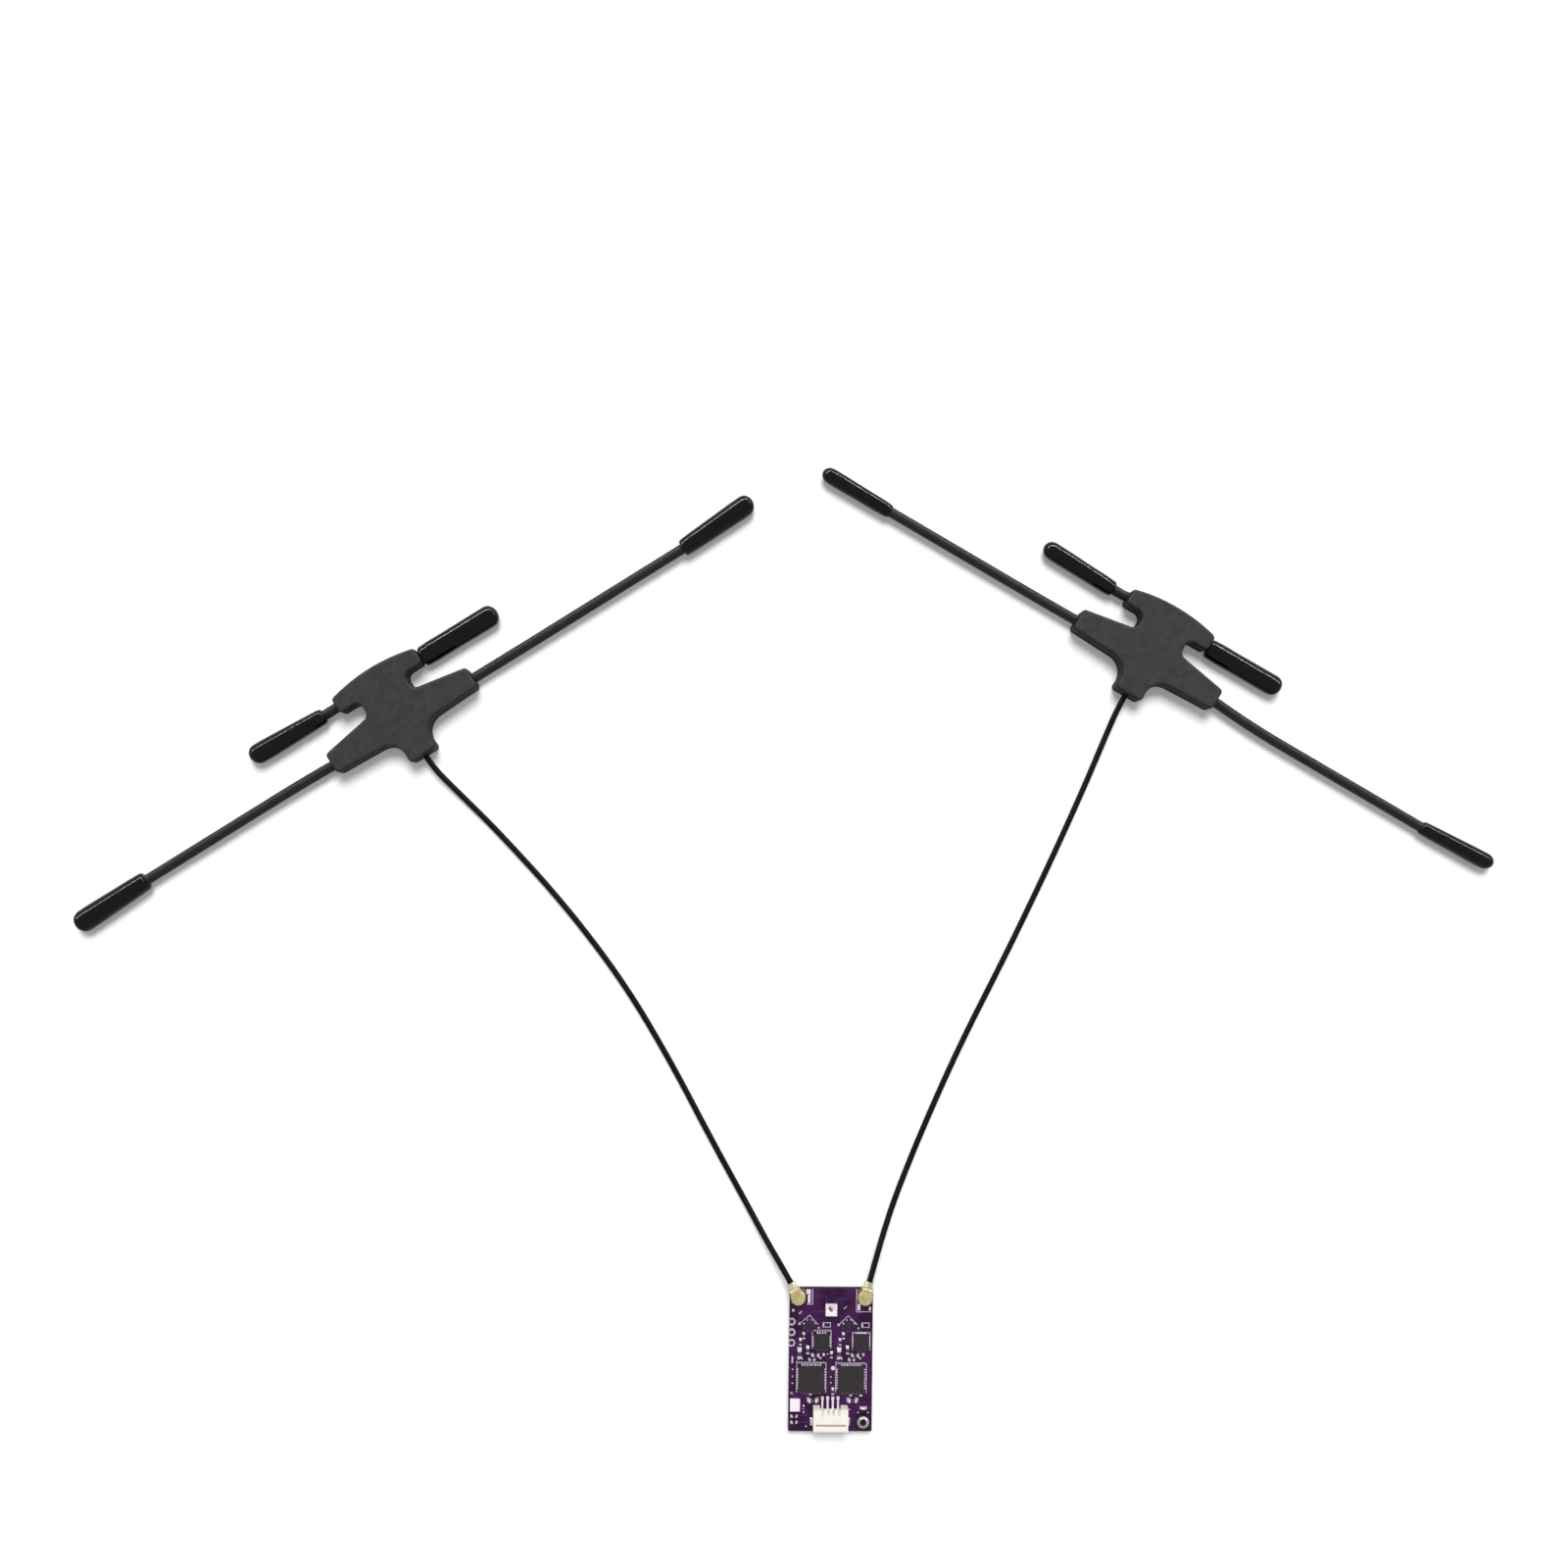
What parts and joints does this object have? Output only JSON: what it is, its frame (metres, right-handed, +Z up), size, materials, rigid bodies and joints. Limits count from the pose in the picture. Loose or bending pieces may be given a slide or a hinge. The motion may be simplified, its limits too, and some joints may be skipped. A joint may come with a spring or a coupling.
{
  "type": "diversity radio receiver with two t-shaped aerials",
  "caption": "Bare radio receiver board with a power socket and push button, joined by thin coax leads to T-shaped aerials that have long and short capped arms.",
  "frame": {"origin": "centre of the face the circuit board rests on, under the middle of the board", "axes": "+Z up out of the board's upper face, +Y along the board towards the coax plugs and the aerials, +X across the board"},
  "size_m": [0.2757, 0.1862, 0.0048],
  "materials": {
    "board": "satin",
    "gold": "polished",
    "tinned": "satin",
    "chip": "matte",
    "filter": "satin",
    "light_case": "satin",
    "light_resin": "glossy",
    "silicon": "glossy",
    "socket_plastic": "satin",
    "button_steel": "satin",
    "button_plastic": "satin",
    "ceramic": "satin",
    "chip_part": "satin",
    "insulator": "satin",
    "housing": "fine matt moulding",
    "wire": "satin",
    "cap": "glossy",
    "lead": "satin"
  },
  "bodies": {
    "receiver": {"aerial_left_base": "housing", "aerial_left_cover": "housing", "aerial_left_end_caps": "cap", "aerial_left_feed_board": "board", "aerial_left_lead_end": "lead", "aerial_left_long_wire_a": "wire", "aerial_left_long_wire_b": "wire", "aerial_left_short_wire_a": "wire", "aerial_left_short_wire_b": "wire", "aerial_right_base": "housing", "aerial_right_cover": "housing", "aerial_right_end_caps": "cap", "aerial_right_feed_board": "board", "aerial_right_lead_end": "lead", "aerial_right_long_wire_a": "wire", "aerial_right_long_wire_b": "wire", "aerial_right_short_wire_a": "wire", "aerial_right_short_wire_b": "wire", "amplifier_chip_left": "chip", "amplifier_chip_right": "chip", "button_base": "button_plastic", "button_cover": "button_steel", "button_dome": "button_steel", "ceramic_aerial": "ceramic", "chip_capacitors": "chip_part", "chip_coils": "chip_part", "chip_resistors": "chip_part", "circuit_board": "board", "clock_cans": "tinned", "edge_contacts": "gold", "filter_left": "filter", "filter_right": "filter", "lead_left": "lead", "lead_right": "lead", "microcontroller": "chip", "plug_cores": "insulator", "plug_shell_left": "gold", "plug_shell_right": "gold", "power_coil": "chip", "radio_chip_left": "chip", "radio_chip_right": "chip", "receptacle_bases": "insulator", "receptacle_contacts": "gold", "receptacle_rings": "gold", "socket_anchors": "tinned", "socket_housing": "socket_plastic", "socket_pins": "tinned", "status_light_case": "light_case", "status_light_driver": "silicon", "status_light_resin": "light_resin", "voltage_regulator": "chip"},
    "button": {"boot_button": "button_plastic"}
  },
  "joints": [
    {"name": "boot_button_press", "type": "slide", "parent": "receiver", "child": "button", "axis": [0, 0, -1], "range_m": [0, 0.00015], "stiffness_N_per_m": 2000}
  ]
}
